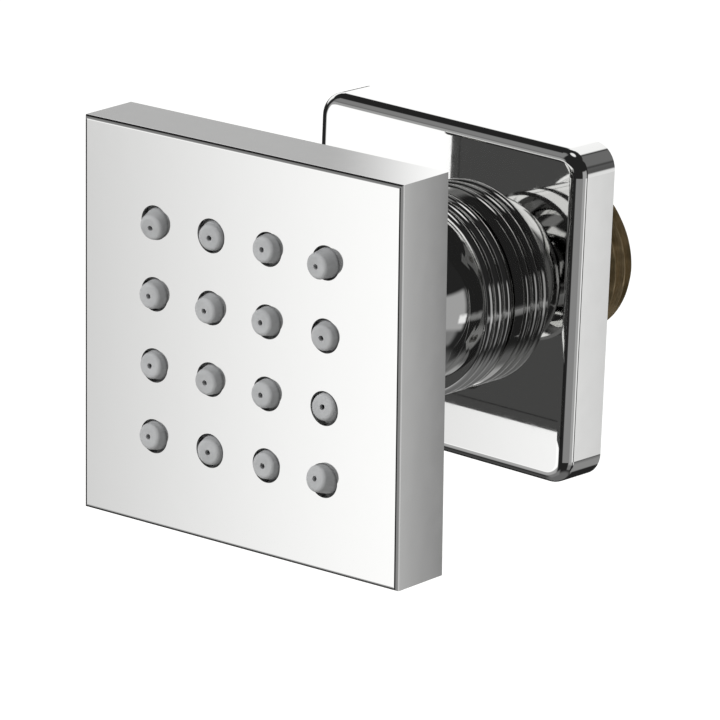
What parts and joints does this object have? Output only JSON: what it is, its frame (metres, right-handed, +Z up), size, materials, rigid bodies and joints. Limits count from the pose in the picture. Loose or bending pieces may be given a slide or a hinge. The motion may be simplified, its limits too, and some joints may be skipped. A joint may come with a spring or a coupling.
{
  "type": "shower jet",
  "caption": "Square swivelling shower jet with soft nozzles, a ball joint held by a ribbed nut, a square wall flange and a threaded inlet.",
  "frame": {"origin": "on the inlet's axis in the wall plane, where the inlet thread starts", "axes": "+Y along the inlet into the wall, +Z up, the head sprays towards -Y"},
  "size_m": [0.051, 0.0661, 0.051],
  "materials": {
    "chrome_plate": "mirror polished chrome plating",
    "nozzle_silicone": "matt moulded silicone",
    "white_acetal": "moulded acetal",
    "stainless_steel": "plain stainless steel",
    "seal_rubber": "moulded rubber",
    "seal_foam": "closed cell foam",
    "raw_brass": "machined brass, not plated",
    "green_plastic": "moulded plastic"
  },
  "bodies": {
    "inlet": {"inlet_body": "raw_brass", "swivel_nut": "chrome_plate", "nut_gasket": "seal_rubber", "wall_flange": "chrome_plate", "flange_o_ring": "seal_rubber", "wall_seal": "seal_foam", "flow_limiter": "green_plastic", "strainer_rim": "seal_rubber", "strainer_mesh": "stainless_steel"},
    "slip_ring": {"front_slip_ring": "white_acetal"},
    "seat_ring": {"rear_seat_ring": "seal_rubber"},
    "head": {"face_shell": "chrome_plate", "nozzle_mat": "nozzle_silicone", "mat_retainer": "white_acetal", "retainer_screws": "stainless_steel", "back_plate": "chrome_plate", "back_gasket": "seal_rubber", "back_screws": "stainless_steel", "ball_stud": "chrome_plate", "neck_washer": "seal_rubber"}
  },
  "joints": [
    {"name": "swing", "type": "hinge", "parent": "inlet", "child": "slip_ring", "pos_m": [0, -0.0133, 0], "axis": [0, 0, 1], "range_deg": [-16.4, 13.6]},
    {"name": "nod", "type": "hinge", "parent": "slip_ring", "child": "seat_ring", "pos_m": [0, -0.0133, 0], "axis": [0.9997, 0.0244, 0], "range_deg": [-16.2, 13.8]},
    {"name": "spin", "type": "hinge", "parent": "seat_ring", "child": "head", "pos_m": [0, -0.0133, 0], "axis": [-0.0244, 0.9995, 0.0209], "continuous": true}
  ]
}
